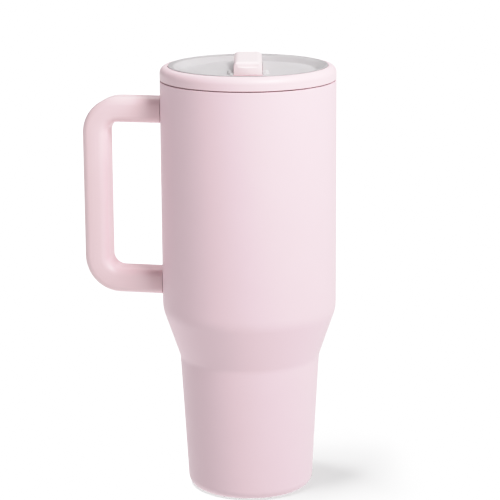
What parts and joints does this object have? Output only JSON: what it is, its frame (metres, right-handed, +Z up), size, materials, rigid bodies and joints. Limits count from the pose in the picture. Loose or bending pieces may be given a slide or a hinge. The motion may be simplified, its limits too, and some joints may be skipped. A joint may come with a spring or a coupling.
{
  "type": "insulated tumbler with lid",
  "caption": "Vacuum-insulated steel tumbler with a C-shaped side handle, tapered foot, lift-off lid with a clear recessed disc, flip-up spout and drinking straw.",
  "frame": {"origin": "centre of the foot ring, in the plane that the tumbler stands on", "axes": "+Z up along the cup's axis to the lid; the handle points along -X; the spout's front is 11.5 degrees round from -Y towards +X"},
  "size_m": [0.1459, 0.1, 0.2506],
  "materials": {
    "powder_coat": "matte powder coat, pale pink",
    "steel": "brushed stainless steel",
    "seal_glass": "fused sealing glass",
    "getter_metal": "pressed metal",
    "handle_plastic": "matte moulded, pale pink",
    "screw_steel": "turned stainless steel",
    "silicone": "soft silicone, smoke grey",
    "collar_plastic": "matte moulded, pale pink",
    "clear_plastic": "clear moulded plastic",
    "straw_plastic": "clear extruded plastic",
    "spout_plastic": "satin moulded, pale pink"
  },
  "bodies": {
    "cup": {"outer_shell": "powder_coat", "inner_liner": "steel", "base_plate": "steel", "vacuum_seal_bead": "seal_glass", "base_cover": "steel", "getter": "getter_metal", "handle_outer_shell": "handle_plastic", "handle_inner_shell": "handle_plastic", "upper_bracket": "steel", "lower_bracket": "steel", "handle_screws": "screw_steel", "screw_caps": "handle_plastic"},
    "mouth_gasket": {"lid_gasket": "silicone"},
    "lid": {"lid_collar": "collar_plastic", "disc_seal": "silicone", "lid_disc": "clear_plastic", "spout_seal": "silicone", "straw_sleeve": "silicone", "straw": "straw_plastic", "vent_valve": "silicone"},
    "spout": {"spout": "spout_plastic", "spout_pins": "screw_steel"}
  },
  "joints": [
    {"name": "lid_lift", "type": "slide", "parent": "cup", "child": "mouth_gasket", "axis": [0, 0, 1], "range_m": [0, 0.24]},
    {"name": "lid_turn", "type": "hinge", "parent": "mouth_gasket", "child": "lid", "pos_m": [0, 0, 0.2391], "axis": [0, 0, 1], "continuous": true},
    {"name": "spout_flip", "type": "hinge", "parent": "lid", "child": "spout", "pos_m": [0.00219, -0.01078, 0.2423], "axis": [0.9799, 0.1994, 0], "range_deg": [0, 83]}
  ]
}
